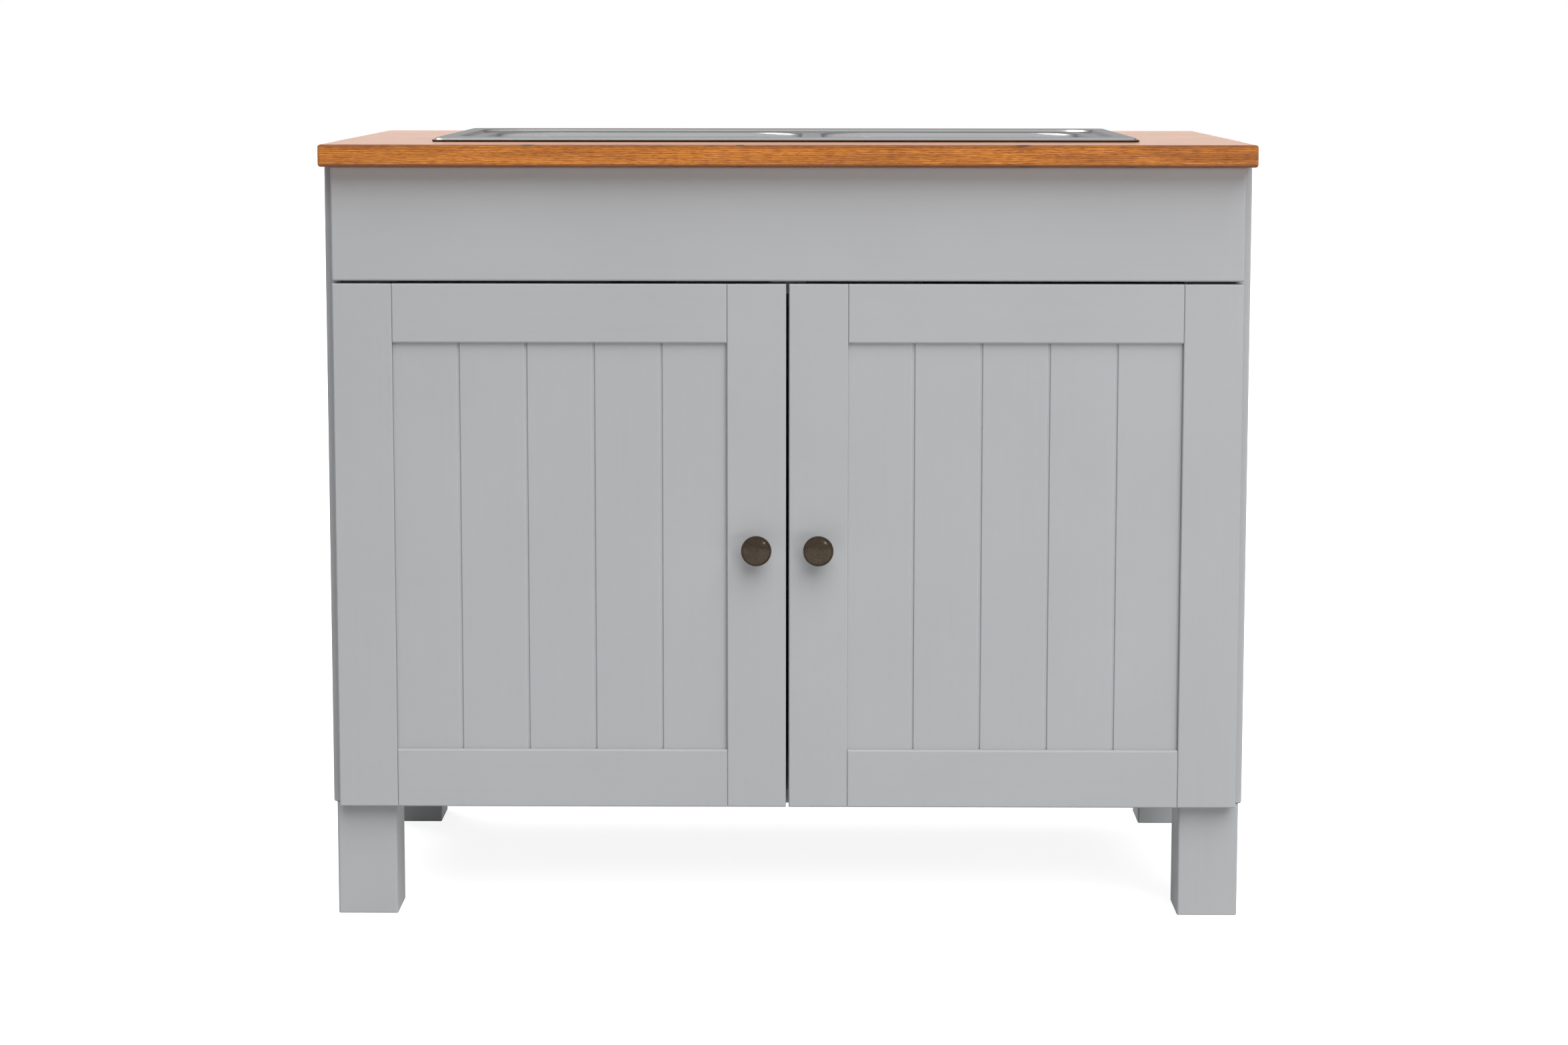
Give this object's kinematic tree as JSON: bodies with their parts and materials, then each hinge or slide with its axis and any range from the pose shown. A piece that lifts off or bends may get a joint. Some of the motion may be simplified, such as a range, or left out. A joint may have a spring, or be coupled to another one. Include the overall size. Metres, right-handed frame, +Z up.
{
  "type": "sink base cabinet",
  "caption": "Freestanding sink base cabinet on square legs: framed doors with grooved panels under a plain fascia, timber worktop, inset double-bowl steel sink.",
  "frame": {"origin": "on the floor, under the middle of the whole object's box", "axes": "+X along the worktop to the right as seen from the front, +Y to the back, +Z up"},
  "size_m": [1, 0.6, 0.8545],
  "materials": {
    "paint": "silk paint, light cool grey",
    "carcass_board": "light grey melamine-faced board",
    "hardboard": "thin grey-faced board",
    "pine": "oiled, warm orange-brown",
    "steel": "satin stainless",
    "zinc": "nickel-plated",
    "bronze": "dark antique",
    "plastic": "light grey moulded",
    "rubber": "black foam"
  },
  "bodies": {
    "carcass": {"side_panel_left": "paint", "leg_front_left": "paint", "leg_bolt_front_left": "zinc", "leg_rear_left": "paint", "leg_bolt_rear_left": "zinc", "left_lower_hinge_arm": "zinc", "left_lower_hinge_plate": "zinc", "left_upper_hinge_arm": "zinc", "left_upper_hinge_plate": "zinc", "left_bowl": "steel", "left_strainer_body": "steel", "left_strainer_nut": "plastic", "side_panel_right": "paint", "leg_front_right": "paint", "leg_bolt_front_right": "zinc", "leg_rear_right": "paint", "leg_bolt_rear_right": "zinc", "right_lower_hinge_arm": "zinc", "right_lower_hinge_plate": "zinc", "right_upper_hinge_arm": "zinc", "right_upper_hinge_plate": "zinc", "right_bowl": "steel", "right_strainer_body": "steel", "right_strainer_nut": "plastic", "base_panel": "carcass_board", "front_rail": "carcass_board", "rear_rail": "carcass_board", "back_panel": "hardboard", "fascia": "paint", "worktop": "pine", "sink_deck": "steel", "sink_seal": "rubber", "sink_clip_left": "zinc", "sink_clip_right": "zinc", "sink_clip_front_left": "zinc", "sink_clip_front_right": "zinc", "magnetic_catch": "plastic"},
    "left_door": {"left_door_outer_stile": "paint", "left_door_inner_stile": "paint", "left_door_top_rail": "paint", "left_door_bottom_rail": "paint", "left_door_panel": "paint", "left_knob": "bronze", "left_knob_screw": "zinc", "left_lower_hinge_cup": "zinc", "left_upper_hinge_cup": "zinc", "left_strike_plate": "zinc"},
    "right_door": {"right_door_outer_stile": "paint", "right_door_inner_stile": "paint", "right_door_top_rail": "paint", "right_door_bottom_rail": "paint", "right_door_panel": "paint", "right_knob": "bronze", "right_knob_screw": "zinc", "right_lower_hinge_cup": "zinc", "right_upper_hinge_cup": "zinc", "right_strike_plate": "zinc"},
    "left_basket": {"left_strainer_basket": "steel"},
    "right_basket": {"right_strainer_basket": "steel"}
  },
  "joints": [
    {"name": "left_door_hinge", "type": "hinge", "parent": "carcass", "child": "left_door", "pos_m": [-0.483, -0.261, 0.413], "axis": [0, 0, -1], "range_deg": [0, 95]},
    {"name": "right_door_hinge", "type": "hinge", "parent": "carcass", "child": "right_door", "pos_m": [0.483, -0.261, 0.413], "axis": [0, 0, 1], "range_deg": [0, 95]},
    {"name": "left_basket_lift", "type": "slide", "parent": "carcass", "child": "left_basket", "axis": [0, 0, 1], "range_m": [0, 0.012]},
    {"name": "right_basket_lift", "type": "slide", "parent": "carcass", "child": "right_basket", "axis": [0, 0, 1], "range_m": [0, 0.012]}
  ]
}
